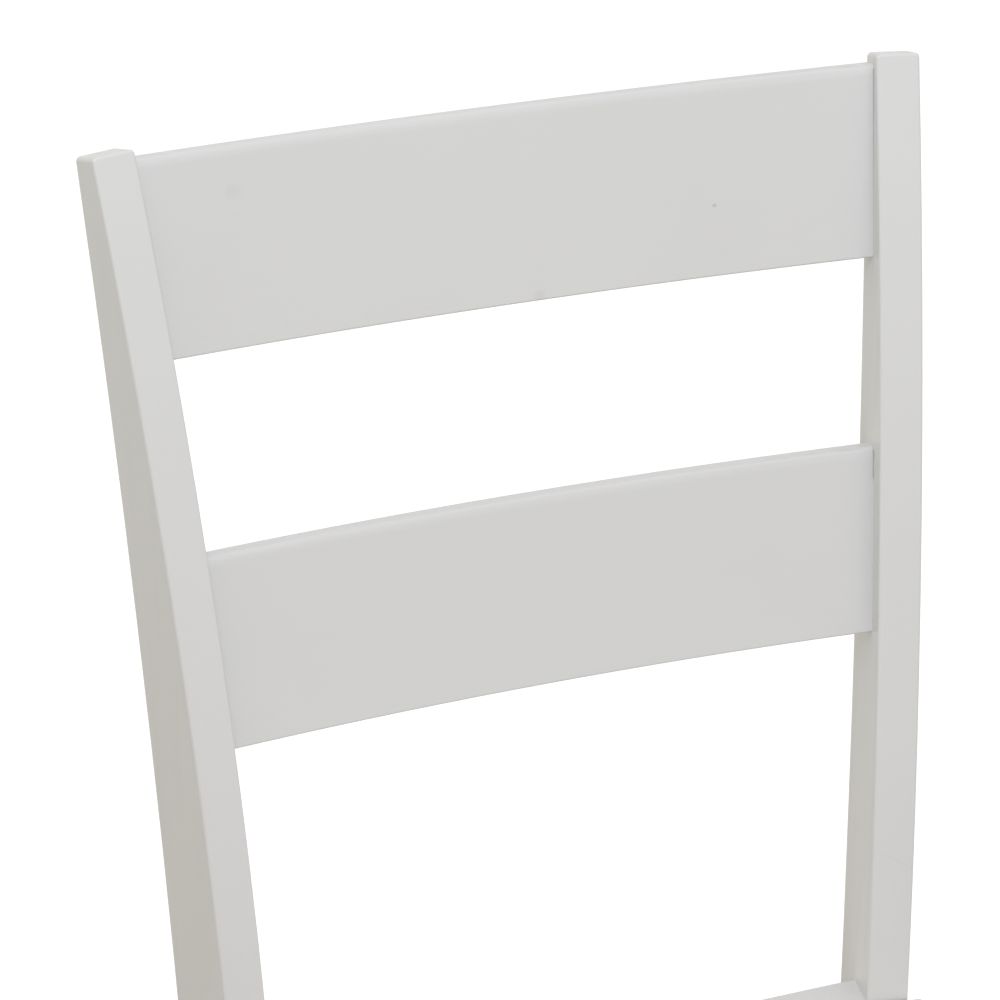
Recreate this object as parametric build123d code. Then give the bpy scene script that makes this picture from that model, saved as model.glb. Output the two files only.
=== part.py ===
from build123d import *
from math import asin, atan2, cos, degrees, radians, sin, sqrt, tan
import os

# A ladder-back wooden dining chair. Millimetres, +Z up, the front of the chair faces -Y,
# and left and right are as seen from the front, so right is +X.

# Seat
seat_height = 450.0  # floor to the top of the seat
seat_thickness = 20.0
seat_front_width = 434.0
seat_back_width = 392.0  # at the front of the rear posts
seat_depth = 390.0  # front edge to the front of the rear posts
seat_tongue = 33.8  # reach of the seat between the rear posts
seat_corner_radius = 24.0
seat_top_round = 5.0
seat_bottom_round = 2.0
seat_post_gap = 0.02
seat_side_overhang = 10.0
seat_front_overhang = 12.0

# Rear posts: each is one plank, curved in its own plane. Heights are measured along the plank
# from the seat's top, and depths from the foremost line of its front edge.
post_thickness = 22.5
post_spacing = 349.6  # between the middles of the planks, at seat height
post_toe = 12.0  # degrees, each front face is turned towards the middle
post_splay = 1.2  # degrees, each plank leans outwards
post_rise = 492.4
post_top_setback = 93.4
post_top_depth = 17.5
post_top_slope = 13.5  # degrees, the end falls towards the back
post_belly_depth = 47.6
post_front_belly_drop = 130.0  # where the front edge is upright, below the seat's top
post_back_belly_drop = 268.0  # where the back edge is upright
post_foot_setback = 39.5
post_foot_depth = 28.4
post_corner_round = 2.4  # at the sides of its top
post_edge_round = 1.5

# Slats: bent boards with a tenon at each end. Their middles are measured up the post.
slat_height = 97.3
slat_thickness = 11.5
slat_crown_radius = 18.0  # of the gentle curve along the top of its front
slat_crown_turn = 14.0  # degrees, lean of the front where that curve ends
slat_corner_round = 2.2  # from there over to its top
slat_edge_round = 1.0  # along its other edges
upper_slat_rise = 438.4
upper_slat_setback = 9.7  # behind the front edge of the post
upper_slat_recline = 12.0  # degrees
upper_slat_bow = 16.6
lower_slat_rise = 248.0
lower_slat_setback = 12.9
lower_slat_recline = 10.9
lower_slat_bow = 13.4
slat_tenon_thickness = 6.0
slat_tenon_height = 74.0
slat_tenon_length = 14.0
tenon_fit = 0.1
tenon_end_gap = 1.0

# Front legs, square above and tapered on the two inner faces below
leg_size = 36.0
leg_foot_size = 26.0
leg_taper_drop = 15.0  # start of the taper below the rails
leg_edge_round = 2.0

# Rails under the seat
rail_thickness = 18.0
rail_height = 60.0
rail_inset = 6.0  # behind the outer faces of the front legs
rail_edge_round = 1.5
rear_rail_setback = 16.0  # from the front of the posts to the rear rail's front face

# Stretchers between the legs
stretcher_thickness = 18.0
stretcher_height = 26.0
stretcher_level = 165.0  # centre line above the floor
stretcher_edge_round = 2.5
stretcher_tenon_radius = 6.0
stretcher_tenon_length = 13.0
cross_stretcher_setback = 165.0  # behind the back of the front legs
cross_tenon_radius = 5.0
cross_tenon_length = 11.0

# Dowels, two in each end of a rail. Those of the side rails are further apart than those of
# the front and rear rails, so that they pass each other in the legs.
dowel_radius = 4.0
dowel_reach = 14.0  # into each of the two pieces
cross_rail_dowel_spread = 20.0
side_rail_dowel_spread = 42.0
dowel_fit = 0.05
dowel_end_gap = 1.0

# Corner blocks and the screws through them
block_leg = 52.0  # along each rail
block_height = 44.0
block_notch_gap = 0.5
block_screw_offset = 32.0  # along the rail from the inside corner
block_screw_seat = 10.0  # wood under the head
block_screw_reach = 14.0  # into the rail
seat_screw_offset = 19.0  # along both rails from the inside corner
seat_screw_reach = 12.0  # into the seat
screw_radius = 2.0
screw_head_radius = 4.0
screw_head_height = 2.6
screw_fit = 0.05
screw_head_fit = 0.3
screw_end_gap = 1.0

# Floor glides and their nails
glide_radius = 9.0
glide_height = 5.0
glide_round = 1.5
glide_recess_radius = 4.5
glide_recess_depth = 2.6
nail_radius = 1.25
nail_head_radius = 3.5
nail_head_height = 1.2
nail_reach = 16.0  # into the foot of the leg
nail_fit = 0.05
nail_end_gap = 1.0

# Places worked out from the sizes
across = Vector(1, 0, 0)
up = Vector(0, 0, 1)
rail_top = seat_height - seat_thickness
rail_middle = rail_top - rail_height / 2
taper_start = rail_top - rail_height - leg_taper_drop
leg_front = -seat_depth + seat_front_overhang
leg_back = leg_front + leg_size
leg_outside = seat_front_width / 2 - seat_side_overhang
leg_inside = leg_outside - leg_size
front_rail_middle = leg_front + rail_inset + rail_thickness / 2
front_rail_inside = leg_front + rail_inset + rail_thickness
side_rail_front_x = leg_outside - rail_inset - rail_thickness / 2
rear_rail_middle = rear_rail_setback + rail_thickness / 2
far = 4 * seat_height  # long enough to cut right through any piece

# The plank of the right post: local x runs to the back, y up and z outwards
toe = radians(post_toe)
splay = radians(post_splay)
post_backwards = Vector(sin(toe), cos(toe), 0)
post_outwards = Vector(cos(toe), -sin(toe), 0)
post_upwards = Vector(0, 0, cos(splay)) + post_outwards * sin(splay)
post_plane = Plane(
    origin=(post_spacing / 2, 0, seat_height),
    x_dir=post_backwards,
    z_dir=post_backwards.cross(post_upwards),
)
post_upper_run = post_rise + post_front_belly_drop
post_lower_run = seat_height - post_front_belly_drop
post_upper_radius = (post_top_setback**2 + post_upper_run**2) / (2 * post_top_setback)
post_lower_radius = (post_foot_setback**2 + post_lower_run**2) / (2 * post_foot_setback)


def mirrored(shape):
    """The left-hand copy of a right-hand shape."""
    return mirror(shape, about=Plane.YZ)


def both_sides(shape):
    """A right-hand shape together with its left-hand copy."""
    return [shape, mirrored(shape)]


def post_front(height):
    """Depth of the post's front edge at a height along the plank."""
    above = height + post_front_belly_drop
    radius = post_upper_radius if above > 0 else post_lower_radius
    return radius - sqrt(radius**2 - above**2)


def post_point(depth, height, outwards):
    """A point given in the right post's own plane."""
    return post_plane.from_local_coords(Vector(depth, height, outwards))


def inner_face_point(y, z):
    """The point of the right post's inner face at a depth and height of the chair."""
    normal = post_plane.z_dir
    base = post_point(0, 0, -post_thickness / 2)
    x = base.X - ((y - base.Y) * normal.Y + (z - base.Z) * normal.Z) / normal.X
    return Vector(x, y, z)


def front_edge_point(z):
    """The middle of the right post's front edge at a height of the chair."""
    height = (z - seat_height) / post_upwards.Z
    return post_point(post_front(height), height, 0)


def beyond(plane):
    """All the space on the side of a plane that it faces."""
    return plane.location * Box(far, far, far, align=(Align.CENTER, Align.CENTER, Align.MIN))


def outside_right_post():
    """All the space outboard of the right post's inner face."""
    return beyond(post_plane.offset(-post_thickness / 2))


def right_post_notch(depth, gap):
    """All the space outboard of the right post's inner face and behind a depth, less a gap."""
    corner = Pos(depth - gap, 0, -post_thickness / 2 - gap)
    return post_plane.location * corner * Box(far, far, far, align=(Align.MIN, Align.CENTER, Align.MIN))


def bar(start, end, thickness, height, edge_round, overrun=0):
    """A level bar with rounded long edges between two points, run on past both ends."""
    along = (end - start).normalized()
    length = (end - start).length + 2 * overrun
    frame = Plane(origin=start - along * overrun, x_dir=along.cross(up), z_dir=along)
    return extrude(frame * RectangleRounded(thickness, height, edge_round), amount=length)


def rod(start, along, length, radius):
    """A round rod or hole from a point along a direction."""
    frame = Plane(origin=start, z_dir=along)
    return extrude(frame * Circle(radius), amount=length)


def round_tenon(joint, along, root, length, radius):
    """A round tenon rooted inside its own piece, with the socket for its end."""
    start = joint - along * root
    tenon = rod(start, along, root + length, radius)
    socket = rod(start, along, root + length + tenon_end_gap, radius + tenon_fit)
    return tenon, socket


# Rear posts


def post_profile():
    """Side outline of a rear post in its own plane."""
    front_belly = (0, -post_front_belly_drop)
    back_belly = (post_belly_depth, -post_back_belly_drop)
    top_fall = post_top_depth * tan(radians(post_top_slope))
    top_front = (post_top_setback, post_rise)
    top_back = (post_top_setback + post_top_depth, post_rise - top_fall)
    foot_front = (post_foot_setback, -seat_height)
    foot_back = (post_foot_setback + post_foot_depth, -seat_height)
    return make_face(
        [
            TangentArc(front_belly, top_front, tangent=(0, 1)),
            Line(top_front, top_back),
            TangentArc(back_belly, top_back, tangent=(0, 1)),
            TangentArc(back_belly, foot_back, tangent=(0, -1)),
            Line(foot_back, foot_front),
            TangentArc(front_belly, foot_front, tangent=(0, -1)),
        ]
    )


def plain_post():
    """The right post, cut level at the foot and eased all round, before its joints are cut."""
    plank = extrude(post_plane * post_profile(), amount=post_thickness / 2, both=True)
    plank -= beyond(Plane(origin=up * glide_height, z_dir=-up))
    through_plank = Axis(post_plane.origin, post_plane.z_dir)
    top_edges = plank.faces().sort_by(Axis.Z)[-1].edges().sort_by(through_plank)
    plank = fillet([top_edges[0], top_edges[-1]], post_corner_round)
    ends = plank.faces().sort_by(Axis.Z)
    sharp_edges = {*plank.faces().filter_by(post_plane).edges(), *ends[0].edges(), *ends[-1].edges()}
    return fillet(sharp_edges, post_edge_round)


def foot_middle(post):
    """The middle of the right post's foot."""
    return post.faces().sort_by(Axis.Z)[0].center()


# Slats


def up_slat(recline):
    """The direction up a reclined slat."""
    return Vector(0, sin(radians(recline)), cos(radians(recline)))


def slat_section():
    """The section of a slat, with x from its front to its back and y up from its middle."""
    turn = radians(slat_crown_turn)
    top = slat_height / 2
    corner_end = slat_crown_radius * (1 - cos(turn)) + slat_corner_round * cos(turn)
    crown_end = top - slat_corner_round * (1 - sin(turn))
    crown_start = crown_end - slat_crown_radius * sin(turn)
    crown_top = (slat_crown_radius * (1 - cos(turn)), crown_end)
    outline = make_face(
        [
            Line((0, -top), (0, crown_start)),
            TangentArc((0, crown_start), crown_top, tangent=(0, 1)),
            TangentArc(crown_top, (corner_end, top), tangent=(sin(turn), cos(turn))),
            Line((corner_end, top), (slat_thickness, top)),
            Line((slat_thickness, top), (slat_thickness, -top)),
            Line((slat_thickness, -top), (0, -top)),
        ]
    )
    corners = outline.vertices()
    return fillet({*corners.sort_by(Axis.X)[-2:], *corners.sort_by(Axis.Y)[:2]}, slat_edge_round)


def slat_board(rise, setback, recline, bow):
    """A board between the posts, bent round an axis in front of it, without its tenons."""
    end = post_point(post_front(rise) + setback, rise, -post_thickness / 2)
    upwards = up_slat(recline)
    backwards = upwards.cross(across)
    bend_radius = (end.X**2 + bow**2) / (2 * bow)
    bend_axis = Axis(Vector(0, end.Y, end.Z) + backwards * (bow - bend_radius), upwards)
    half_bend = degrees(asin((end.X + post_thickness) / bend_radius))
    middle = Plane(origin=bend_axis.position + backwards * bend_radius, x_dir=backwards, z_dir=across)
    start = (middle * slat_section()).rotate(bend_axis, half_bend)
    board = revolve(start, axis=bend_axis, revolution_arc=-2 * half_bend)
    for end_cut in both_sides(outside_right_post()):
        board -= end_cut
    return board


def slat_tenon(rise, setback, recline, fit=0, end_gap=0):
    """The tenon at the right end of a slat, or with a fit its mortise."""
    upwards = up_slat(recline)
    lean = degrees(atan2(upwards.dot(post_backwards), upwards.dot(post_upwards)))
    depth = post_front(rise) + setback + slat_thickness / 2
    root = slat_thickness / 2
    block = Box(
        slat_tenon_thickness + 2 * fit,
        slat_tenon_height + 2 * fit,
        root + slat_tenon_length + end_gap,
        align=(Align.CENTER, Align.CENTER, Align.MIN),
    )
    place = Pos(depth, rise, -post_thickness / 2 - root) * Rot(0, 0, -lean)
    return post_plane.location * place * block


def slat(rise, setback, recline, bow):
    """A slat with both its tenons."""
    board = slat_board(rise, setback, recline, bow)
    for tenon in both_sides(slat_tenon(rise, setback, recline)):
        board += tenon
    return board


# Front legs


def plain_leg():
    """The right front leg with its long edges eased, before its joints are cut."""
    from_corner = (Align.MAX, Align.MIN)
    foot = Rectangle(leg_foot_size, leg_foot_size, align=from_corner)
    foot = Pos(leg_outside, leg_front, glide_height) * foot
    knee = Rectangle(leg_size, leg_size, align=from_corner)
    knee = Pos(leg_outside, leg_front, taper_start) * knee
    leg = loft([foot, knee], ruled=True) + extrude(knee, amount=rail_top - taper_start)
    long_edges = [edge for edge in leg.edges() if edge.bounding_box().size.Z > leg_edge_round]
    return fillet(long_edges, leg_edge_round)


def leg_back_at(level):
    """The back face of the front leg at a height on its taper."""
    share = (level - glide_height) / (taper_start - glide_height)
    return leg_front + leg_foot_size + (leg_size - leg_foot_size) * share


# Rails and their dowels


def dowel_levels(spread):
    """The heights of the two dowels in a rail's end."""
    return [rail_middle - spread / 2, rail_middle + spread / 2]


def dowel_pair(points, along, fit=0, end_gap=0):
    """Two dowels that reach equally into both pieces of a joint, or with a fit their holes."""
    reach = dowel_reach + end_gap
    return [rod(point - along * reach, along, 2 * reach, dowel_radius + fit) for point in points]


# Seat


def seat_panel():
    """The seat, notched round the rear posts."""
    front_half = seat_front_width / 2
    back_half = seat_back_width / 2
    tongue_half = back_half - (front_half - back_half) * seat_tongue / seat_depth
    outline = make_face(
        Polyline(
            (-front_half, -seat_depth),
            (front_half, -seat_depth),
            (tongue_half, seat_tongue),
            (-tongue_half, seat_tongue),
            close=True,
        )
    )
    front_corners = outline.vertices().group_by(Axis.Y)[0]
    outline = fillet(front_corners, seat_corner_radius)
    panel = extrude(Pos(0, 0, rail_top) * outline, amount=seat_thickness)
    panel = fillet(panel.edges().group_by(Axis.Z)[-1], seat_top_round)
    panel = fillet(panel.edges().group_by(Axis.Z)[0], seat_bottom_round)
    for notch in both_sides(right_post_notch(post_front(-seat_thickness), seat_post_gap)):
        panel -= notch
    return panel


# Corner blocks


def corner_block_corner(side_start, along, outwards, face_y):
    """The inside corner between the side rail and a cross rail whose inner face is at a depth."""
    on_face = side_start - outwards * (rail_thickness / 2)
    return on_face + along * ((face_y - on_face.Y) / along.Y)


def corner_block_blank(corner, along_cross, along_side):
    """A three-cornered block that fills the angle between two rails."""
    points = [corner, corner + along_cross * block_leg, corner + along_side * block_leg]
    outline = make_face(Polyline(*[(p.X, p.Y) for p in points], close=True))
    return extrude(Pos(0, 0, rail_top - block_height) * outline, amount=block_height)


def square_to(along, towards):
    """The part of a direction that is square to another, as a unit vector."""
    return (towards - along * towards.dot(along)).normalized()


def screw_and_hole(head_seat, along, length):
    """A screw whose head seats at a point, with the hole for its shank."""
    screw = rod(head_seat, along, length, screw_radius)
    screw += rod(head_seat, -along, screw_head_height, screw_head_radius)
    hole = rod(head_seat, along, length + screw_end_gap, screw_radius + screw_fit)
    return screw, hole


# Glides


def glide_and_nail(foot):
    """A floor glide under a foot, its nail and the nail's hole."""
    head_seat = Vector(foot.X, foot.Y, glide_recess_depth)
    shank_length = glide_height - glide_recess_depth + nail_reach
    nail = rod(head_seat, up, shank_length, nail_radius)
    nail += rod(head_seat, -up, nail_head_height, nail_head_radius)
    hole = rod(head_seat, up, shank_length + nail_end_gap, nail_radius + nail_fit)
    recess = rod(head_seat, -up, glide_recess_depth, glide_recess_radius)
    glide = rod(Vector(foot.X, foot.Y, 0), up, glide_height, glide_radius)
    glide = fillet(glide.edges().sort_by(Axis.Z)[0], glide_round)
    return glide - hole - recess, nail, hole


# Assembly: right-hand pieces are made first, and the left-hand ones are their mirror images

post = plain_post()
post_foot = foot_middle(post)
leg = plain_leg()
seat = seat_panel()
nodes = {}

# Slats and their mortises
slats = {
    "upper_slat": (upper_slat_rise, upper_slat_setback, upper_slat_recline, upper_slat_bow),
    "lower_slat": (lower_slat_rise, lower_slat_setback, lower_slat_recline, lower_slat_bow),
}
for name, (rise, setback, recline, bow) in slats.items():
    nodes[name] = [slat(rise, setback, recline, bow)]
    post -= slat_tenon(rise, setback, recline, tenon_fit, tenon_end_gap)

# The space behind the posts' front edges and the space ahead of the front legs' back faces
behind_post = extrude(post_plane * post_profile(), amount=2 * post_thickness, both=True)
leg_side = Polyline(
    (-far, glide_height),
    (leg_front + leg_foot_size, glide_height),
    (leg_back, taper_start),
    (leg_back, rail_top),
    (-far, rail_top),
    close=True,
)
ahead_of_leg = extrude(Plane.YZ * make_face(leg_side), amount=far, both=True)

# Front rail
front_joint = Vector(leg_inside, front_rail_middle, rail_middle)
front_rail = bar(
    front_joint - across * (2 * leg_inside),
    front_joint,
    rail_thickness,
    rail_height,
    rail_edge_round,
)

# Rear rail, cut to the posts' inner faces
rear_joint = inner_face_point(rear_rail_middle, rail_middle)
rear_rail = bar(
    rear_joint - across * (2 * rear_joint.X),
    rear_joint,
    rail_thickness,
    rail_height,
    rail_edge_round,
    overrun=rail_thickness,
)
for outside in both_sides(outside_right_post()):
    rear_rail -= outside

# Side rail, from the front leg to the post
side_start = Vector(side_rail_front_x, leg_back, rail_middle)
side_end = front_edge_point(rail_middle)
side_along = (side_end - side_start).normalized()
side_outwards = side_along.cross(up)
side_rail = bar(side_start, side_end, rail_thickness, rail_height, rail_edge_round, overrun=rail_thickness)
side_rail = side_rail - behind_post - ahead_of_leg

# Dowels of the rails
cross_levels = dowel_levels(cross_rail_dowel_spread)
side_levels = dowel_levels(side_rail_dowel_spread)
dowel_places = {
    "front_rail_dowels": ([Vector(leg_inside, front_rail_middle, z) for z in cross_levels], across),
    "rear_rail_dowels": ([inner_face_point(rear_rail_middle, z) for z in cross_levels], post_plane.z_dir),
    "side_rail_front_dowels": ([Vector(side_start.X, side_start.Y, z) for z in side_levels], side_along),
    "side_rail_rear_dowels": ([front_edge_point(z) for z in side_levels], side_along),
}
dowel_holes = {}
for name, (points, along) in dowel_places.items():
    pair = dowel_pair(points, along)
    nodes[name] = pair + [mirrored(dowel) for dowel in pair]
    dowel_holes[name] = dowel_pair(points, along, dowel_fit, dowel_end_gap)
side_rail_holes = dowel_holes["side_rail_front_dowels"] + dowel_holes["side_rail_rear_dowels"]
leg -= dowel_holes["front_rail_dowels"] + dowel_holes["side_rail_front_dowels"]
post -= dowel_holes["rear_rail_dowels"] + dowel_holes["side_rail_rear_dowels"]
side_rail -= side_rail_holes
for hole in dowel_holes["front_rail_dowels"]:
    front_rail -= both_sides(hole)
for hole in dowel_holes["rear_rail_dowels"]:
    rear_rail -= both_sides(hole)

# Side stretcher, with round tenons into the front leg and the post
stretcher_back = leg_back_at(stretcher_level)
stretcher_x = leg_outside - (stretcher_back - leg_front) / 2
stretcher_start = Vector(stretcher_x, stretcher_back, stretcher_level)
stretcher_end = front_edge_point(stretcher_level)
stretcher_along = (stretcher_end - stretcher_start).normalized()
stretcher_outwards = stretcher_along.cross(up)
side_stretcher = bar(
    stretcher_start,
    stretcher_end,
    stretcher_thickness,
    stretcher_height,
    stretcher_edge_round,
    overrun=stretcher_thickness,
)
side_stretcher = side_stretcher - behind_post - ahead_of_leg
tenon_sizes = (stretcher_thickness, stretcher_tenon_length, stretcher_tenon_radius)
front_tenon, front_socket = round_tenon(stretcher_start, -stretcher_along, *tenon_sizes)
rear_tenon, rear_socket = round_tenon(stretcher_end, stretcher_along, *tenon_sizes)
side_stretcher = side_stretcher + front_tenon + rear_tenon
leg -= front_socket
post -= rear_socket

# Cross stretcher, between the inner faces of the side stretchers
cross_y = leg_back + cross_stretcher_setback
on_axis = stretcher_start + stretcher_along * ((cross_y - stretcher_start.Y) / stretcher_along.Y)
cross_joint = on_axis - across * (stretcher_thickness / 2 / stretcher_outwards.X)
cross_stretcher = bar(
    cross_joint - across * (2 * cross_joint.X),
    cross_joint,
    stretcher_thickness,
    stretcher_height,
    stretcher_edge_round,
    overrun=stretcher_thickness,
)
for outside in both_sides(beyond(Plane(origin=cross_joint, z_dir=stretcher_outwards))):
    cross_stretcher -= outside
cross_tenon, cross_socket = round_tenon(
    cross_joint, across, stretcher_thickness, cross_tenon_length, cross_tenon_radius
)
for tenon in both_sides(cross_tenon):
    cross_stretcher += tenon
side_stretcher -= cross_socket

# Corner blocks, with two screws into the rails and one up into the seat
cross_rails = {"front": front_rail, "rear": rear_rail}
leg_corner = Pos(leg_inside - block_notch_gap, leg_back + block_notch_gap, 0)
leg_notch = leg_corner * Box(far, far, far, align=(Align.MIN, Align.MAX, Align.CENTER))
block_places = {
    "front": (front_rail_inside, side_along, leg_notch),
    "rear": (rear_rail_setback, -side_along, right_post_notch(0, block_notch_gap)),
}
blocks = {}
block_screws = []
seat_screws = []
for end, (face_y, along_side, notch) in block_places.items():
    corner = corner_block_corner(side_start, side_along, side_outwards, face_y)
    block = corner_block_blank(corner, -across, along_side) - notch
    for along, other in ((-across, along_side), (along_side, -across)):
        inwards = square_to(along, other)
        head_seat = corner + along * block_screw_offset + inwards * block_screw_seat
        screw, hole = screw_and_hole(head_seat, -inwards, block_screw_seat + block_screw_reach)
        block -= rod(head_seat, inwards, block_leg, screw_head_radius + screw_head_fit)
        block -= hole
        side_rail -= hole
        cross_rails[end] -= both_sides(hole)
        block_screws += both_sides(screw)
    under_seat = corner + (along_side - across) * seat_screw_offset
    head_seat = Vector(under_seat.X, under_seat.Y, rail_top - block_height)
    screw, hole = screw_and_hole(head_seat, up, block_height + seat_screw_reach)
    seat -= both_sides(hole)
    seat_screws += both_sides(screw)
    blocks[end] = block - hole

# Glides under the four feet
front_foot = Vector(leg_outside - leg_foot_size / 2, leg_front + leg_foot_size / 2, 0)
front_glide, front_nail, nail_hole = glide_and_nail(front_foot)
leg -= nail_hole
rear_glide, rear_nail, nail_hole = glide_and_nail(post_foot)
post -= nail_hole

# One node for each piece, and one for each set of like fasteners
paired = {
    "rear_post": post,
    "front_leg": leg,
    "side_rail": side_rail,
    "side_stretcher": side_stretcher,
    "front_corner_block": blocks["front"],
    "rear_corner_block": blocks["rear"],
    "front_glide": front_glide,
    "rear_glide": rear_glide,
}
for name, shape in paired.items():
    nodes["right_" + name] = [shape]
    nodes["left_" + name] = [mirrored(shape)]
nodes["seat_panel"] = [seat]
nodes["front_rail"] = [cross_rails["front"]]
nodes["rear_rail"] = [cross_rails["rear"]]
nodes["cross_stretcher"] = [cross_stretcher]
nodes["corner_block_screws"] = block_screws
nodes["seat_screws"] = seat_screws
nodes["glide_nails"] = both_sides(front_nail) + both_sides(rear_nail)

# The origin is on the floor, under the middle of the chair
boxes = [shape.bounding_box() for shapes in nodes.values() for shape in shapes]
middle = (min(box.min.Y for box in boxes) + max(box.max.Y for box in boxes)) / 2

os.makedirs("parts", exist_ok=True)
for name, shapes in nodes.items():
    solids = [solid for shape in shapes for solid in shape.solids()]
    export_step(Pos(0, -middle, 0) * Compound(solids), f"parts/{name}.step")
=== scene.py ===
import math
from collections import namedtuple
from functools import partial

import bmesh
import bpy
import numpy as np
from mathutils import Matrix, Vector


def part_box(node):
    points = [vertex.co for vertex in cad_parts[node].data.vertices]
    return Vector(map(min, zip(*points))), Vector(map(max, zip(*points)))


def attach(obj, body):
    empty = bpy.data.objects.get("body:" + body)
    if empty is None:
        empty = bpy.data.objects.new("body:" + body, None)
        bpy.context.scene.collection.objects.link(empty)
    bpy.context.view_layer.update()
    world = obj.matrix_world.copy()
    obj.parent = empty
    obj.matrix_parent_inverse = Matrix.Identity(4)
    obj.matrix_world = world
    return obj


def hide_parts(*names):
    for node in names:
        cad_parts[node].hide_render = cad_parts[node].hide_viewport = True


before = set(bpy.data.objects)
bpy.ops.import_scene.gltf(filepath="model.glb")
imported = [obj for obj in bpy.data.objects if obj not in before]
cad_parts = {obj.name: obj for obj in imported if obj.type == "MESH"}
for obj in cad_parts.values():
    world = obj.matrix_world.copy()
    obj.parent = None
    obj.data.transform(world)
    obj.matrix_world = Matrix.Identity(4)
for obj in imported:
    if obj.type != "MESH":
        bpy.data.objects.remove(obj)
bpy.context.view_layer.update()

bl_info = {
    "name": "Ladder-back dining chair",
    "version": (1, 0, 0),
    "blender": (4, 5, 0),
    "location": "View3D > Sidebar > Chair",
    "description": "Paints a wooden ladder-back chair, adds its fasteners and lights it on a white floor",
    "category": "Object",
}

# The pieces of the chair that are finished alike
POSTS = ["left_rear_post", "right_rear_post"]
SLATS = ["upper_slat", "lower_slat"]
LEGS = ["left_front_leg", "right_front_leg"]
CROSS_RAILS = ["front_rail", "rear_rail"]
SIDE_RAILS = ["left_side_rail", "right_side_rail"]
SIDE_STRETCHERS = ["left_side_stretcher", "right_side_stretcher"]
BLOCKS = [
    "left_front_corner_block",
    "right_front_corner_block",
    "left_rear_corner_block",
    "right_rear_corner_block",
]
DOWELS = ["front_rail_dowels", "rear_rail_dowels", "side_rail_front_dowels", "side_rail_rear_dowels"]
GLIDES = ["left_front_glide", "right_front_glide", "left_rear_glide", "right_rear_glide"]

# The sets of CAD fasteners, each with the modelled set that takes its place
SCREWS = (("corner_block_screws", "crosshead_block_screws"), ("seat_screws", "crosshead_seat_screws"))
NAILS = ("glide_nails", "domed_glide_nails")

# The one body that the painted copies and the fasteners ride on
BODY = "root"

# Turns that bring a piece's grain, or the scratches in the zinc, to the pattern's X axis
GRAIN_ACROSS = (0.0, 0.0, 0.0)
GRAIN_FORE_AND_AFT = (0.0, 0.0, math.radians(-90))
GRAIN_UP = (0.0, math.radians(90), 0.0)
SCRATCH_TURN = (0.3, 0.2, 0.6)

# Patterns that follow the grain, in repeats per metre along it and across it
BRUSH_MARKS = (7.0, 240.0)
PAINTED_GRAIN = (16.0, 900.0)
BEECH_STREAKS = (6.0, 160.0)
BEECH_FLECKS = (240.0, 1500.0)
ZINC_SCRATCHES = (500.0, 4000.0)

# Patterns that are alike all ways, in repeats per metre
PAINT_CLOUDS = 14.0
PAINT_PEEL = 900.0
ZINC_CLOUDS = 350.0
NYLON_CLOUDS = 120.0
NYLON_SKIN = 3500.0

# The grey values of a noise pattern between which a finish changes
NOISE_SPAN = (0.3, 0.7)
PAINT_CLOUD_SPAN = (0.35, 0.7)
BEECH_STREAK_SPAN = (0.35, 0.7)
BEECH_FLECK_SPAN = (0.62, 0.72)
ZINC_CLOUD_SPAN = (0.4, 0.75)
NYLON_CLOUD_SPAN = (0.4, 0.7)

# The darker tones of a finish, as shares of its colour, and how much the beech's flecks cover
BEECH_STREAK_TONE = 0.72
BEECH_FLECK_TONE = 0.5
BEECH_FLECK_COVER = 0.6
ZINC_TARNISH_TONE = 0.7
NYLON_WEAR_TONE = 0.85

# Roughness of the finishes, for the paint as a swing about its middle
PAINT_SWING = (-0.05, 0.06)
BEECH_ROUGHNESS = (0.55, 0.72)
ZINC_ROUGHNESS = (0.28, 0.45)
NYLON_ROUGHNESS = (0.42, 0.56)

# Depth of the relief in the finishes in metres, for the paint's grain and peel as shares of its brush marks
GRAIN_DEPTH = 1 / 3
PEEL_DEPTH = 1 / 6
BEECH_STREAK_DEPTH = 0.0001
BEECH_FLECK_DEPTH = 0.00005
ZINC_SCRATCH_DEPTH = 0.00001
NYLON_SKIN_DEPTH = 0.00003

# Where shade is painted along the joints between a slat's front and the posts, in metres: the lowest and
# highest point of each painted shade line, and the height over which it grows to its full strength
JOINT_SHADE_LINES = {
    "upper_slat": {"low": 0.830, "high": 0.935, "fade": 0.105},
    "lower_slat": {"low": 0.729, "high": 0.746, "fade": 0.002},
}

# How dark a painted shade line in a joint is, over what height its top ends, and the share of its reach that
# is full
JOINT_SHADE_STRENGTH = 0.45
JOINT_SHADE_END = 0.002
JOINT_SHADE_CORE = 0.6

# Small marks in the paint of the upper slat
SMUDGE = {"middle": (-0.1441, 0.2316, 0.9126), "radius": 0.0050, "strength": 0.055}
SPECK = {"middle": (0.1070, 0.2276, 0.8736), "radius": 0.0012, "strength": 0.35}
EDGE_MARK = {"middle": (0.0115, 0.2254, 0.8392), "radius": 0.0040, "strength": 0.1}

# The share of a mark's radius that is full, and how far its ragged edge moves in and out
SCUFF_CORE = 0.4
SCUFF_RAGGED = (0.7, 1.3)

# The glue seam that shows through the paint of the right post
SEAM_POINT = (0.1705, 0.1457, 0.5362)
SEAM_NORMAL = (0.511, -0.017, 0.860)
SEAM_HALF_WIDTH = 0.0006
SEAM_STRENGTH = 0.06

# How faces are told apart: by the cosine of their turn, and beside a joint by their distance from it
FACING = 0.9
JOINT_REACH = 0.03
UP = 1
DOWN = -1

# How the points of meshes are merged and sorted, and how their faces are shaded
MERGE_DISTANCE = 0.000002
SORT_DECIMALS = 4
PAINT_SMOOTH_ANGLE = math.radians(40)
METAL_SMOOTH_ANGLE = math.radians(35)

# How fine the fasteners are, and how far their tips and the cross in their heads narrow
FASTENER_SIDES = 48
DOME_STEPS = 5
TIP_SHARE = 0.12
CROSS_TAPER = 0.5

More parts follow.
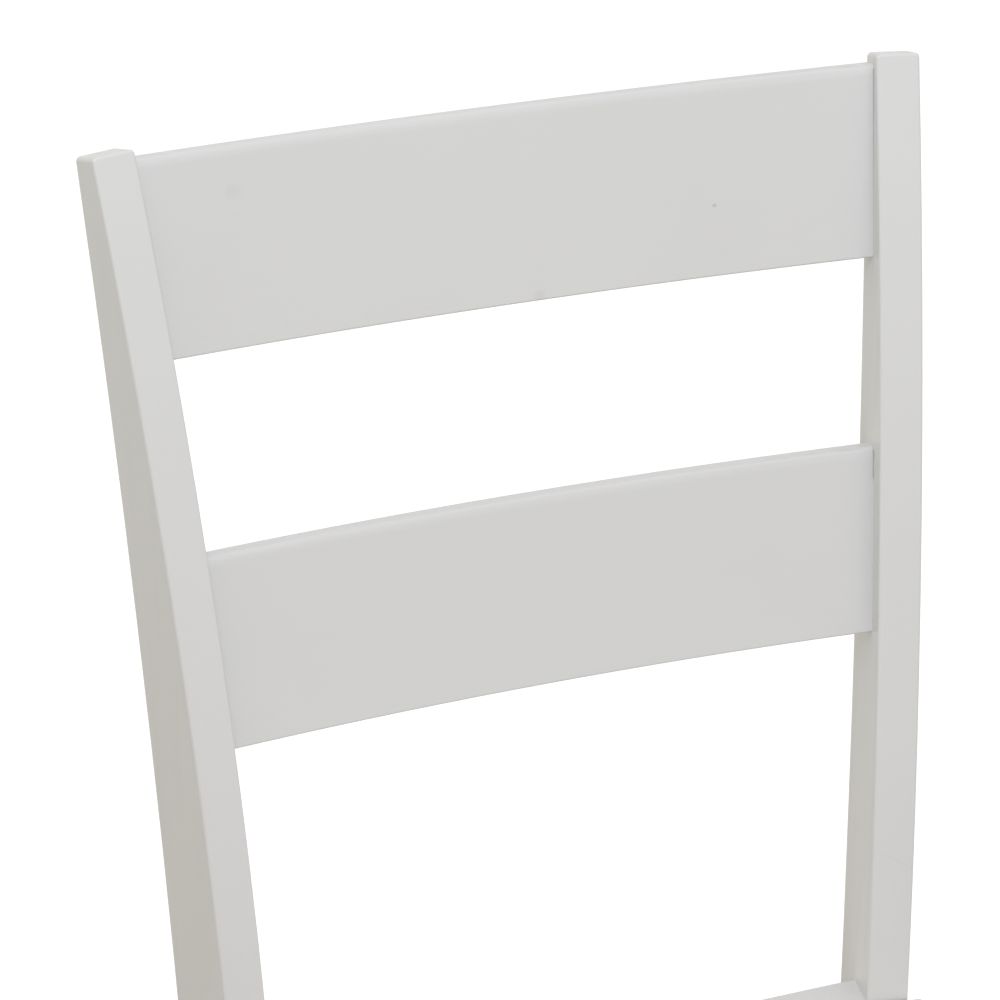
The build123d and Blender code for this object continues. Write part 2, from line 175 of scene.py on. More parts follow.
# Plain white, the whole span of a share, and the width of the camera's sensor in millimetres
WHITE = (1.0, 1.0, 1.0)
OFF_TO_ON = (0.0, 1.0)
SENSOR_WIDTH = 36.0


# Settings


def colour_setting(name, description, default):
    """A setting that holds a colour."""
    return bpy.props.FloatVectorProperty(
        name=name,
        description=description,
        subtype="COLOR",
        default=default,
    )


def place_setting(name, description, default):
    """A setting that holds a place."""
    return bpy.props.FloatVectorProperty(
        name=name,
        description=description,
        subtype="TRANSLATION",
        default=default,
    )


def length_setting(name, description, default):
    """A setting that holds a length."""
    return bpy.props.FloatProperty(
        name=name,
        description=description,
        unit="LENGTH",
        default=default,
        precision=5,
    )


def angle_setting(name, description, degrees):
    """A setting that holds an angle."""
    return bpy.props.FloatProperty(
        name=name,
        description=description,
        subtype="ANGLE",
        default=math.radians(degrees),
    )


def share_setting(name, description, default):
    """A setting that holds a share between nothing and all."""
    return bpy.props.FloatProperty(
        name=name,
        description=description,
        subtype="FACTOR",
        min=0.0,
        max=1.0,
        default=default,
    )


def level_setting(name, description, default):
    """A setting that holds how strong a light is."""
    return bpy.props.FloatProperty(
        name=name,
        description=description,
        min=0.0,
        default=default,
    )


class ChairFinish(bpy.types.PropertyGroup):
    """Colours and sheen of the chair's finishes."""

    paint_colour: colour_setting("Paint", "Colour of the white satin paint", (0.73, 0.725, 0.715))
    paint_shade: colour_setting(
        "Paint shade",
        "Colour of the paint where it lies thinner",
        (0.72, 0.715, 0.705),
    )
    paint_roughness: share_setting("Paint roughness", "Middle of the paint's roughness", 0.42)
    # The slats' paint is made darker than the rest as painted shade, standing in for the light they get less
    # of
    slat_shade_tone: share_setting(
        "Slat tone",
        "How light the paint of the slats is, as a share of the rest",
        0.97,
    )
    brush_depth: length_setting("Brush marks", "Depth of the brush marks in the paint", 0.00006)
    # This one dark colour draws both the painted shade along the joints and the dirt of the scuffs and the
    # seam
    dirt_and_shade_colour: colour_setting(
        "Dirt",
        "Colour of the dirt in cracks and scuffs of the paint",
        (0.28, 0.27, 0.25),
    )
    # How far the painted shade line of a joint reaches onto the slat and onto the post
    shade_on_slat: length_setting(
        "Crack on slat",
        "How far a crack in the paint reaches onto the slat",
        0.0004,
    )
    shade_on_post: length_setting(
        "Crack on post",
        "How far a crack in the paint reaches onto the post",
        0.002,
    )
    beech_colour: colour_setting("Beech", "Colour of the bare beech of blocks and dowels", (0.56, 0.36, 0.2))
    steel_colour: colour_setting("Zinc", "Colour of the zinc on screws and nails", (0.62, 0.62, 0.6))
    nylon_colour: colour_setting("Nylon", "Colour of the floor glides", (0.68, 0.67, 0.64))


class ChairFasteners(bpy.types.PropertyGroup):
    """Sizes of the screws and nails."""

    screw_head_radius: length_setting("Screw head", "Radius of a screw's head", 0.004)
    screw_head_height: length_setting("Screw head height", "Height of a screw's head", 0.0026)
    screw_head_dome: length_setting("Screw head rounding", "Rounding of the top of a screw's head", 0.0012)
    screw_radius: length_setting("Screw", "Radius of a screw's shank", 0.002)
    screw_tip: length_setting("Screw tip", "Length of a screw's point", 0.005)
    cross_width: length_setting("Cross", "Width of the cross in a screw's head", 0.0046)
    cross_gap: length_setting("Cross slot", "Width of each slot of the cross", 0.0011)
    cross_depth: length_setting("Cross depth", "Depth of the cross", 0.0015)
    nail_head_radius: length_setting("Nail head", "Radius of a nail's head", 0.0035)
    nail_head_height: length_setting("Nail head height", "Height of a nail's head", 0.0012)
    nail_head_dome: length_setting("Nail head rounding", "Rounding of the top of a nail's head", 0.0007)
    nail_radius: length_setting("Nail", "Radius of a nail's shank", 0.00125)
    nail_tip: length_setting("Nail tip", "Length of a nail's point", 0.003)


class ChairStage(bpy.types.PropertyGroup):
    """Camera, lamps, even light and floor."""

    camera_place: place_setting("Camera", "Place of the camera", (-0.70928, -1.45640, 1.52977))
    camera_azimuth: angle_setting(
        "Azimuth",
        "Turn of the camera to the right of the chair's back-to-front line",
        22.593,
    )
    camera_pitch: angle_setting("Pitch", "How far the camera looks down", 23.605)
    camera_roll: angle_setting("Roll", "Tilt of the camera about its own line of sight", 0.042)
    camera_lens: bpy.props.FloatProperty(
        name="Lens",
        description="Focal length",
        unit="CAMERA",
        default=142.73,
    )
    lamp_aim: place_setting("Lamp aim", "Point that the lamps face", (0.0, 0.15, 0.7))
    lamp_colour: colour_setting("Lamp colour", "Colour of the lamps' light", (0.765, 0.83, 1.0))
    key_place: place_setting(
        "Key place",
        "Place of the broad soft lamp above the front left of the chair",
        (-0.56, -1.27, 2.73),
    )
    key_width: length_setting("Key width", "Width of the key lamp's round front", 1.08)
    key_power: level_setting("Key power", "Power of the key lamp in watts", 25.5)
    side_place: place_setting(
        "Side place",
        "Place of the weak soft lamp before the right of the chair",
        (0.7, -1.5, 2.0),
    )
    side_width: length_setting("Side width", "Width of the side lamp's round front", 1.0)
    side_power: level_setting("Side power", "Power of the side lamp in watts", 2.8)
    sky_strength: level_setting("Fill", "Strength of the even light from all round", 0.68)
    sky_colour: colour_setting("Fill colour", "Colour of the even light from all round", (1.0, 0.954, 0.858))
    floor_size: length_setting("Floor", "Width of the floor", 40.0)
    floor_colour: colour_setting("Floor colour", "Colour of the floor as it is seen", (0.93, 0.95, 1.0))
    floor_glow: level_setting("Floor white", "Light that lifts the lit floor to white", 0.43)
    far_bounce: colour_setting(
        "Far bounce",
        "Colour that the floor all round throws back onto the chair",
        (0.82, 0.86, 0.86),
    )
    near_bounce: colour_setting(
        "Near bounce",
        "Colour that the floor near the chair throws back onto it",
        (0.24, 0.18, 0.085),
    )
    near_radius: length_setting(
        "Near radius",
        "How far from the chair's middle that colour starts to fade",
        1.1,
    )
    far_radius: length_setting("Far radius", "How far from the chair's middle it has faded", 1.7)


# Nodes


def new_material(name):
    """A new node material, with its node tree and its shader."""
    material = bpy.data.materials.new(name)
    material.use_nodes = True
    tree = material.node_tree
    return material, tree, tree.nodes["Principled BSDF"]


def add_node(tree, kind, values=None, **settings):
    """A node with its settings and the values of its inputs."""
    node = tree.nodes.new(kind)
    for key, value in settings.items():
        setattr(node, key, value)
    for key, value in (values or {}).items():
        node.inputs[key].default_value = value
    return node


def surface_place(tree):
    """Where the surface lies, in the chair's own coordinates."""
    return add_node(tree, "ShaderNodeTexCoord").outputs["Object"]


def noise(tree, place, scale, detail=2.0):
    """A noise pattern's grey value."""
    node = add_node(tree, "ShaderNodeTexNoise", {"Scale": scale, "Detail": detail})
    tree.links.new(place, node.inputs["Vector"])
    return node.outputs["Fac"]


def grain_noise(tree, turn, repeats, detail=2.0):
    """A noise pattern that is drawn out along the grain."""
    along, across = repeats
    turned = add_node(tree, "ShaderNodeMapping", {"Rotation": turn})
    scaled = add_node(tree, "ShaderNodeMapping", {"Scale": (along, across, across)})
    tree.links.new(surface_place(tree), turned.inputs["Vector"])
    tree.links.new(turned.outputs["Vector"], scaled.inputs["Vector"])
    return noise(tree, scaled.outputs["Vector"], 1.0, detail)


def spread(tree, value, span, target=OFF_TO_ON):
    """A value's span carried over to a target span."""
    node = add_node(
        tree,
        "ShaderNodeMapRange",
        {"From Min": span[0], "From Max": span[1], "To Min": target[0], "To Max": target[1]},
    )
    tree.links.new(value, node.inputs["Value"])
    return node.outputs["Result"]


def product(tree, values):
    """Values multiplied together."""
    total = values[0]
    for value in values[1:]:
        node = add_node(tree, "ShaderNodeMath", operation="MULTIPLY")
        tree.links.new(total, node.inputs[0])
        tree.links.new(value, node.inputs[1])
        total = node.outputs[0]
    return total


def mixed_colours(tree, share, first, second):
    """A colour between two, by a share. Each colour is a value or a node's output."""
    node = add_node(tree, "ShaderNodeMix", data_type="RGBA")
    tree.links.new(share, node.inputs["Factor"])
    for socket, colour in (("A", first), ("B", second)):
        target = [i for i in node.inputs if i.name == socket and i.type == "RGBA"][0]
        if isinstance(colour, bpy.types.NodeSocket):
            tree.links.new(colour, target)
        else:
            target.default_value = (*colour, 1.0)
    return [o for o in node.outputs if o.type == "RGBA"][0]


def add_bump(tree, height, distance, under=None):
    """A bump from a height pattern, on top of another bump."""
    node = add_node(tree, "ShaderNodeBump", {"Distance": distance, "Strength": 1.0})
    tree.links.new(height, node.inputs["Height"])
    if under is not None:
        tree.links.new(under, node.inputs["Normal"])
    return node.outputs["Normal"]


def toned(colour, share):
    """A colour made darker, to a share of its lightness."""
    return tuple(share * c for c in colour)


# Flaws of the paint, and painted shade in the joints


def distance_from(tree, point, normal):
    """How far the surface lies from a plane, on either side."""
    offset = add_node(tree, "ShaderNodeVectorMath", {1: point}, operation="SUBTRACT")
    along = add_node(tree, "ShaderNodeVectorMath", {1: normal}, operation="DOT_PRODUCT")
    apart = add_node(tree, "ShaderNodeMath", operation="ABSOLUTE")
    tree.links.new(surface_place(tree), offset.inputs[0])
    tree.links.new(offset.outputs["Vector"], along.inputs[0])
    tree.links.new(along.outputs["Value"], apart.inputs[0])
    return apart.outputs[0]


def near_plane(tree, plane, reach):
    """1 on a plane, fading to 0 at a distance from it."""
    return spread(tree, distance_from(tree, *plane), (JOINT_SHADE_CORE * reach, reach), (1.0, 0.0))


def height_above_floor(tree):
    """How high the surface lies above the floor."""
    parts = add_node(tree, "ShaderNodeSeparateXYZ")
    tree.links.new(surface_place(tree), parts.inputs["Vector"])
    return parts.outputs["Z"]


def widest(faces):
    """The centre and the normal of the largest of some faces."""
    face = max(faces, key=lambda each: each.area)
    return tuple(face.center), tuple(face.normal)


def inner_face(post):
    """A point on a post's face towards the slats, and that face's normal."""
    low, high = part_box(post)
    inwards = -math.copysign(1.0, low[0] + high[0])
    return widest([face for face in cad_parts[post].data.polygons if inwards * face.normal.x > FACING])


def front_end(slat, post):
    """A point on a slat's front beside a post, and the front's normal there."""
    point, inwards = map(Vector, inner_face(post))
    faces = [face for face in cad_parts[slat].data.polygons if face.normal.y < -FACING]
    return widest([face for face in faces if 0.0 < (face.center - point).dot(inwards) < JOINT_REACH])


def joint_shade_line(tree, slat, post, low, high, fade):
    """A dark line of painted shade along the joint between a slat's front and a post."""
    finish = bpy.context.scene.chair_finish
    height = height_above_floor(tree)
    return product(
        tree,
        [
            near_plane(tree, inner_face(post), finish.shade_on_slat),
            near_plane(tree, front_end(slat, post), finish.shade_on_post),
            spread(tree, height, (low, low + fade), (0.0, JOINT_SHADE_STRENGTH)),
            spread(tree, height, (high - JOINT_SHADE_END, high), (1.0, 0.0)),
        ],
    )


def joint_shade_lines(slats, posts):
    """The painted shade lines between some slats and some posts."""
    return [
        partial(joint_shade_line, slat=slat, post=post, **JOINT_SHADE_LINES[slat])
        for slat in slats
        for post in posts
    ]


def scuff(tree, middle, radius, strength):
    """A faint mark with a ragged edge."""
    place = surface_place(tree)
    apart = add_node(tree, "ShaderNodeVectorMath", {1: middle}, operation="DISTANCE")
    tree.links.new(place, apart.inputs[0])
    ragged = spread(tree, noise(tree, place, 1.0 / radius), NOISE_SPAN, SCUFF_RAGGED)
    edge = product(tree, [apart.outputs["Value"], ragged])
    return spread(tree, edge, (SCUFF_CORE * radius, radius), (strength, 0.0))


def glue_seam(tree):
    """A thin seam that shows through the paint."""
    distance = distance_from(tree, SEAM_POINT, SEAM_NORMAL)
    return spread(tree, distance, (0.0, SEAM_HALF_WIDTH), (SEAM_STRENGTH, 0.0))


# Finishes


def satin_paint(name, turn, tone=1.0, flaws_and_shade=()):
    """White satin paint, brushed along the grain of the wood under it, with its flaws and with painted
    shade.
    """
    finish = bpy.context.scene.chair_finish
    material, tree, shader = new_material(name)
    place = surface_place(tree)
    clouds = noise(tree, place, PAINT_CLOUDS, detail=3.0)
    peel = noise(tree, place, PAINT_PEEL, detail=1.0)
    brush = grain_noise(tree, turn, BRUSH_MARKS, detail=3.0)
    grain = grain_noise(tree, turn, PAINTED_GRAIN)
    # The tone darkens the whole paint; for the slats this is painted shade
    light = toned(finish.paint_colour, tone)
    shade = toned(finish.paint_shade, tone)
    colour = mixed_colours(tree, spread(tree, clouds, PAINT_CLOUD_SPAN), light, shade)
    # Each of these darkens the paint towards one dark colour: painted shade along the joints, and real marks
    # such as smudges, specks and the glue seam
    for flaw in flaws_and_shade:
        colour = mixed_colours(tree, flaw(tree), colour, finish.dirt_and_shade_colour)
    tree.links.new(colour, shader.inputs["Base Color"])
    roughness = tuple(finish.paint_roughness + swing for swing in PAINT_SWING)
    tree.links.new(spread(tree, brush, NOISE_SPAN, roughness), shader.inputs["Roughness"])
    normal = add_bump(tree, brush, finish.brush_depth)
    normal = add_bump(tree, grain, GRAIN_DEPTH * finish.brush_depth, under=normal)
    normal = add_bump(tree, peel, PEEL_DEPTH * finish.brush_depth, under=normal)
    tree.links.new(normal, shader.inputs["Normal"])
    return material


def bare_beech(name, turn):
    """Unpainted beech with its short dark flecks along the grain."""
    finish = bpy.context.scene.chair_finish
    material, tree, shader = new_material(name)
    streaks = grain_noise(tree, turn, BEECH_STREAKS, detail=4.0)
    flecks = grain_noise(tree, turn, BEECH_FLECKS)
    dark = toned(finish.beech_colour, BEECH_STREAK_TONE)
    fleck = toned(finish.beech_colour, BEECH_FLECK_TONE)
    cover = spread(tree, flecks, BEECH_FLECK_SPAN, (0.0, BEECH_FLECK_COVER))
    wood = mixed_colours(tree, spread(tree, streaks, BEECH_STREAK_SPAN), finish.beech_colour, dark)
    tree.links.new(mixed_colours(tree, cover, wood, fleck), shader.inputs["Base Color"])
    tree.links.new(spread(tree, streaks, NOISE_SPAN, BEECH_ROUGHNESS), shader.inputs["Roughness"])
    normal = add_bump(tree, streaks, BEECH_STREAK_DEPTH)
    normal = add_bump(tree, flecks, BEECH_FLECK_DEPTH, under=normal)
    tree.links.new(normal, shader.inputs["Normal"])
    return material


def zinc_plate(name):
    """Zinc plated steel with fine scratches and cloudy tarnish."""
    finish = bpy.context.scene.chair_finish
    material, tree, shader = new_material(name)
    clouds = noise(tree, surface_place(tree), ZINC_CLOUDS, detail=3.0)
    scratches = grain_noise(tree, SCRATCH_TURN, ZINC_SCRATCHES)
    dull = toned(finish.steel_colour, ZINC_TARNISH_TONE)
    tone = mixed_colours(tree, spread(tree, clouds, ZINC_CLOUD_SPAN), finish.steel_colour, dull)
    tree.links.new(tone, shader.inputs["Base Color"])
    shader.inputs["Metallic"].default_value = 1.0
    tree.links.new(spread(tree, clouds, NOISE_SPAN, ZINC_ROUGHNESS), shader.inputs["Roughness"])
    tree.links.new(add_bump(tree, scratches, ZINC_SCRATCH_DEPTH), shader.inputs["Normal"])
    return material


def moulded_nylon(name):
    """White nylon with the fine skin of its mould."""
    finish = bpy.context.scene.chair_finish
    material, tree, shader = new_material(name)
    place = surface_place(tree)
    clouds = noise(tree, place, NYLON_CLOUDS)
    skin = noise(tree, place, NYLON_SKIN, detail=1.0)
    worn = toned(finish.nylon_colour, NYLON_WEAR_TONE)
    tone = mixed_colours(tree, spread(tree, clouds, NYLON_CLOUD_SPAN), finish.nylon_colour, worn)
    tree.links.new(tone, shader.inputs["Base Color"])
    tree.links.new(spread(tree, clouds, NOISE_SPAN, NYLON_ROUGHNESS), shader.inputs["Roughness"])
    tree.links.new(add_bump(tree, skin, NYLON_SKIN_DEPTH), shader.inputs["Normal"])
    return material


# Pieces


def finish_nodes(names, material):
    """Gives CAD pieces a finish in place of their plain one."""
    for name in names:
        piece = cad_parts[name]
        piece.material_slots[0].material = material


def deselect_all():
    """Leaves nothing selected, in object mode."""
    if bpy.context.mode != "OBJECT":
        bpy.ops.object.mode_set(mode="OBJECT")
    bpy.ops.object.select_all(action="DESELECT")


def select_only(piece):
    """Leaves one piece selected and active."""
    deselect_all()
    piece.select_set(True)
    bpy.context.view_layer.objects.active = piece


def joined_copy(node, name):
    """A copy of a CAD piece with its triangles joined, so that its curved faces shade evenly."""
    piece = bpy.data.objects.new(name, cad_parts[node].data.copy())
    bpy.context.scene.collection.objects.link(piece)
    select_only(piece)
    bpy.ops.mesh.customdata_custom_splitnormals_clear()
    bpy.ops.object.mode_set(mode="EDIT")
    bpy.ops.mesh.select_all(action="SELECT")
    bpy.ops.mesh.remove_doubles(threshold=MERGE_DISTANCE)
    bpy.ops.object.mode_set(mode="OBJECT")
    bpy.ops.object.shade_smooth_by_angle(angle=PAINT_SMOOTH_ANGLE)
    weigh = piece.modifiers.new("weigh", "WEIGHTED_NORMAL")
    weigh.keep_sharp = True
    bpy.ops.object.modifier_apply(modifier=weigh.name)
    return piece


def put_in_place(piece, node, material):
    """Gives a finished piece its material and puts it in the place of its CAD node."""
    piece.data.materials.clear()
    piece.data.materials.append(material)
    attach(piece, BODY)
    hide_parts(node)


def paint_copy(node, material):
    """Puts a painted copy of a CAD piece in its place."""
    put_in_place(joined_copy(node, "painted_" + node), node, material)


# Fasteners


FastenerPlace = namedtuple("FastenerPlace", ["top", "axis", "length"])


def islands(node):
    """The corner points of each separate solid of a CAD node."""
    work = bmesh.new()
    work.from_mesh(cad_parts[node].data)
    bmesh.ops.remove_doubles(work, verts=work.verts, dist=MERGE_DISTANCE)
    left = set(work.verts)
    found = []
    while left:
        front = [left.pop()]
        island = []
        while front:
            vert = front.pop()
            island.append(tuple(vert.co))
            for edge in vert.link_edges:
                other = edge.other_vert(vert)
                if other in left:
                    left.discard(other)
                    front.append(other)
        found.append(np.array(island))
    work.free()
    return sorted(found, key=lambda points: tuple(points.mean(0).round(SORT_DECIMALS)))


def fastener_places(node):
    """The top of the head, the direction to the tip and the length of each screw or nail."""
    places = []
    for points in islands(node):
        middle = (points.min(0) + points.max(0)) / 2
        axis = np.linalg.svd(points - points.mean(0))[2][0]
        along = (points - middle) @ axis
        radial = np.linalg.norm(points - middle - np.outer(along, axis), axis=1)
        if radial[along > 0].max() > radial[along < 0].max():
            axis, along = -axis, -along
        top = middle + axis * along.min()
        places.append(FastenerPlace(Vector(top), Vector(axis), float(along.max() - along.min())))
    return places


def select_faces(piece, side):
    """Selects, in edit mode, the faces that look up or those that look down."""
    bpy.ops.mesh.select_mode(type="FACE")
    bpy.ops.mesh.select_all(action="DESELECT")
    work = bmesh.from_edit_mesh(piece.data)
    for face in work.faces:
        face.select = side * face.normal.z > FACING
    work.select_flush_mode()
    bmesh.update_edit_mesh(piece.data)


def turned_fastener(name, head_radius, head_height, head_dome, shank_radius, length, tip_length):
    """A round-headed fastener with its head's top at the origin and its tip along -Z."""
    deselect_all()
    bpy.ops.mesh.primitive_cylinder_add(
        vertices=FASTENER_SIDES,
        radius=head_radius,
        depth=head_height,
        location=(0, 0, -head_height / 2),
    )
    piece = bpy.context.active_object
    piece.name = name
    bpy.ops.object.transform_apply(location=True, rotation=True, scale=True)
    bpy.ops.object.mode_set(mode="EDIT")
    select_faces(piece, UP)
    bpy.ops.mesh.bevel(offset=head_dome, segments=DOME_STEPS, profile=0.5, affect="EDGES")
    select_faces(piece, DOWN)
    bpy.ops.mesh.inset(thickness=head_radius - shank_radius)
    drop = length - head_height - tip_length
    bpy.ops.mesh.extrude_region_move(TRANSFORM_OT_translate={"value": (0, 0, -drop)})
    bpy.ops.mesh.extrude_region_move(TRANSFORM_OT_translate={"value": (0, 0, -tip_length)})
    bpy.ops.transform.resize(value=(TIP_SHARE, TIP_SHARE, 1.0))
    bpy.ops.object.mode_set(mode="OBJECT")
    return piece


def cut_cross(piece, width, thickness, depth):
    """Cuts a cross recess into the top of a screw's head."""
    for turn in (0.0, math.radians(90)):
        deselect_all()
        bpy.ops.mesh.primitive_cube_add(size=1.0)
        cutter = bpy.context.active_object
        bpy.ops.transform.resize(value=(width, thickness, 2 * depth))
        bpy.ops.transform.rotate(value=turn, orient_axis="Z", center_override=(0, 0, 0))
        bpy.ops.object.transform_apply(location=True, rotation=True, scale=True)
        bpy.ops.object.mode_set(mode="EDIT")
        select_faces(cutter, DOWN)
        bpy.ops.transform.resize(value=(CROSS_TAPER, CROSS_TAPER, 1.0))
        bpy.ops.object.mode_set(mode="OBJECT")
        select_only(piece)
        cut = piece.modifiers.new("cross", "BOOLEAN")
        cut.operation = "DIFFERENCE"
        cut.solver = "EXACT"
        cut.object = cutter
        bpy.ops.object.modifier_apply(modifier=cut.name)
        bpy.data.objects.remove(cutter)


def place_copies(pattern, places, name):
    """Copies a fastener to its places and joins the copies into one piece."""
    copies = []
    for place in places:
        copy = bpy.data.objects.new(name, pattern.data.copy())
        bpy.context.scene.collection.objects.link(copy)
        turn = Vector((0, 0, -1)).rotation_difference(place.axis).to_matrix().to_4x4()
        copy.data.transform(Matrix.Translation(place.top) @ turn)
        copies.append(copy)
    bpy.data.objects.remove(pattern)
    deselect_all()
    for copy in copies:
        copy.select_set(True)
    bpy.context.view_layer.objects.active = copies[0]
    bpy.ops.object.join()
    piece = bpy.context.active_object
    piece.name = name
    bpy.ops.object.shade_smooth_by_angle(angle=METAL_SMOOTH_ANGLE)
    return piece


# Stage


def seen_directly(tree):
    """1 for what is seen, straight, in a gloss or through glass, and 0 for light that falls on things."""
    path = add_node(tree, "ShaderNodeLightPath")
    seen = path.outputs["Is Camera Ray"]
    for name in ("Is Glossy Ray", "Is Transmission Ray"):
        either = add_node(tree, "ShaderNodeMath", operation="MAXIMUM")
        tree.links.new(seen, either.inputs[0])
        tree.links.new(path.outputs[name], either.inputs[1])
        seen = either.outputs[0]
    return seen


def floor_bounce(tree, stage):
    """The colour of the light that the floor throws back, which changes away from the chair."""
    distance = add_node(tree, "ShaderNodeVectorMath", operation="LENGTH")
    tree.links.new(surface_place(tree), distance.inputs[0])
    fade = spread(tree, distance.outputs["Value"], (stage.near_radius, stage.far_radius))
    return mixed_colours(tree, fade, stage.near_bounce, stage.far_bounce)


def floor_white(stage):
    """A matt white that glows a little where it is seen, and is see-through from below."""
    material = bpy.data.materials.new("floor_white")
    material.use_nodes = True
    tree = material.node_tree
    tree.nodes.clear()
    seen = seen_directly(tree)
    colour = mixed_colours(tree, seen, floor_bounce(tree, stage), stage.floor_colour)
    matt = add_node(tree, "ShaderNodeBsdfDiffuse")
    tree.links.new(colour, matt.inputs["Color"])
    glow = add_node(tree, "ShaderNodeEmission")
    tree.links.new(spread(tree, seen, OFF_TO_ON, (0.0, stage.floor_glow)), glow.inputs["Strength"])
    above = add_node(tree, "ShaderNodeAddShader")
    tree.links.new(matt.outputs[0], above.inputs[0])
    tree.links.new(glow.outputs[0], above.inputs[1])
    below = add_node(tree, "ShaderNodeBsdfTransparent")
    side = add_node(tree, "ShaderNodeNewGeometry")
    either = add_node(tree, "ShaderNodeMixShader")
    tree.links.new(side.outputs["Backfacing"], either.inputs["Fac"])
    tree.links.new(above.outputs[0], either.inputs[1])
    tree.links.new(below.outputs[0], either.inputs[2])
    output = add_node(tree, "ShaderNodeOutputMaterial")
    tree.links.new(either.outputs[0], output.inputs["Surface"])
    return material


def make_floor(stage):
    """A wide pale floor that looks white where nothing shades it."""
    deselect_all()
    bpy.ops.mesh.primitive_plane_add(size=stage.floor_size)
    floor = bpy.context.active_object
    floor.name = "floor"
    floor.data.materials.append(floor_white(stage))


def make_sky(stage):
    """Even light from all round, which looks white."""
    sky = bpy.data.worlds.new("studio")
    bpy.context.scene.world = sky
    sky.use_nodes = True
    tree = sky.node_tree
    background = tree.nodes["Background"]
    seen = seen_directly(tree)
    level = spread(tree, seen, OFF_TO_ON, (stage.sky_strength, 1.0))
    tree.links.new(mixed_colours(tree, seen, stage.sky_colour, WHITE), background.inputs["Color"])
    tree.links.new(level, background.inputs["Strength"])


def make_lamp(stage, name, place, width, power):
    """A soft round lamp that faces the chair's back."""
    light = bpy.data.lights.new(name, "AREA")
    light.shape = "DISK"
    light.size = width
    light.energy = power
    light.color = stage.lamp_colour
    lamp = bpy.data.objects.new(name, light)
    bpy.context.scene.collection.objects.link(lamp)
    lamp.location = place
    towards = Vector(stage.lamp_aim) - Vector(place)
    lamp.rotation_euler = towards.to_track_quat("-Z", "Y").to_euler()


def make_camera(stage):
    """The camera that looks down on the chair's back from the front left."""
    data = bpy.data.cameras.new("camera")
    data.lens = stage.camera_lens
    data.sensor_width = SENSOR_WIDTH
    camera = bpy.data.objects.new("camera", data)
    bpy.context.scene.collection.objects.link(camera)
    turn = Matrix.Rotation(-stage.camera_azimuth, 3, "Z")
    tilt = Matrix.Rotation(math.radians(90) - stage.camera_pitch, 3, "X")
    roll = Matrix.Rotation(stage.camera_roll, 3, "Z")
    camera.location = stage.camera_place
    camera.rotation_euler = (turn @ tilt @ roll).to_euler()
    bpy.context.scene.camera = camera


# Operators


class CHAIR_OT_posts(bpy.types.Operator):
    """Paint the two rear posts along their length"""

    bl_idname = "chair.posts"
    bl_label = "Rear posts"

    def execute(self, context):
        for post in POSTS:
            # Painted shade along the joints with the slats, and on the right post a real glue seam
            flaws_and_shade = joint_shade_lines(SLATS, [post])
            if post == "right_rear_post":
                flaws_and_shade.append(glue_seam)
            paint_copy(post, satin_paint(post + "_paint", GRAIN_UP, flaws_and_shade=flaws_and_shade))
        return {"FINISHED"}


class CHAIR_OT_slats(bpy.types.Operator):
    """Paint the two bent slats along their length"""

    bl_idname = "chair.slats"
    bl_label = "Slats"

    def execute(self, context):
        # The slats' paint is darkened by this share as painted shade
        tone = context.scene.chair_finish.slat_shade_tone
        for slat in SLATS:
            # Painted shade along the joints with the posts, and on the upper slat real smudges and specks
            flaws_and_shade = joint_shade_lines([slat], POSTS)
            if slat == "upper_slat":
                flaws_and_shade += [partial(scuff, **mark) for mark in (SMUDGE, SPECK, EDGE_MARK)]
            paint_copy(slat, satin_paint(slat + "_paint", GRAIN_ACROSS, tone, flaws_and_shade))
        return {"FINISHED"}


class CHAIR_OT_seat(bpy.types.Operator):
    """Paint the seat"""

    bl_idname = "chair.seat"
    bl_label = "Seat"

    def execute(self, context):
        finish_nodes(["seat_panel"], satin_paint("seat_paint", GRAIN_ACROSS))
        return {"FINISHED"}


class CHAIR_OT_legs(bpy.types.Operator):
    """Paint the two front legs along their length"""

    bl_idname = "chair.legs"
    bl_label = "Front legs"

    def execute(self, context):
        finish_nodes(LEGS, satin_paint("leg_paint", GRAIN_UP))
        return {"FINISHED"}


class CHAIR_OT_rails(bpy.types.Operator):
    """Paint the four rails under the seat along their length"""

    bl_idname = "chair.rails"
    bl_label = "Rails"

    def execute(self, context):
        finish_nodes(CROSS_RAILS, satin_paint("cross_rail_paint", GRAIN_ACROSS))
        finish_nodes(SIDE_RAILS, satin_paint("side_rail_paint", GRAIN_FORE_AND_AFT))
        return {"FINISHED"}


class CHAIR_OT_stretchers(bpy.types.Operator):
    """Paint the three stretchers along their length"""

    bl_idname = "chair.stretchers"
    bl_label = "Stretchers"

    def execute(self, context):
        finish_nodes(["cross_stretcher"], satin_paint("cross_stretcher_paint", GRAIN_ACROSS))
        finish_nodes(SIDE_STRETCHERS, satin_paint("side_stretcher_paint", GRAIN_FORE_AND_AFT))
        return {"FINISHED"}


class CHAIR_OT_bare_wood(bpy.types.Operator):
    """Give the corner blocks and dowels their bare beech"""

    bl_idname = "chair.bare_wood"
    bl_label = "Corner blocks and dowels"

    def execute(self, context):
        finish_nodes(BLOCKS, bare_beech("block_beech", GRAIN_ACROSS))
        finish_nodes(DOWELS, bare_beech("dowel_beech", GRAIN_ACROSS))
        return {"FINISHED"}


class CHAIR_OT_screws(bpy.types.Operator):
    """Model the cross-head screws of the corner blocks and of the seat"""

    bl_idname = "chair.screws"
    bl_label = "Screws"

    def execute(self, context):
        sizes = context.scene.chair_fasteners
        zinc = zinc_plate("screw_zinc")
        for node, name in SCREWS:
            places = fastener_places(node)
            pattern = turned_fastener(
                name,
                head_radius=sizes.screw_head_radius,
                head_height=sizes.screw_head_height,
                head_dome=sizes.screw_head_dome,
                shank_radius=sizes.screw_radius,
                length=places[0].length,
                tip_length=sizes.screw_tip,
            )
            cut_cross(pattern, sizes.cross_width, sizes.cross_gap, sizes.cross_depth)
            put_in_place(place_copies(pattern, places, name), node, zinc)
        return {"FINISHED"}


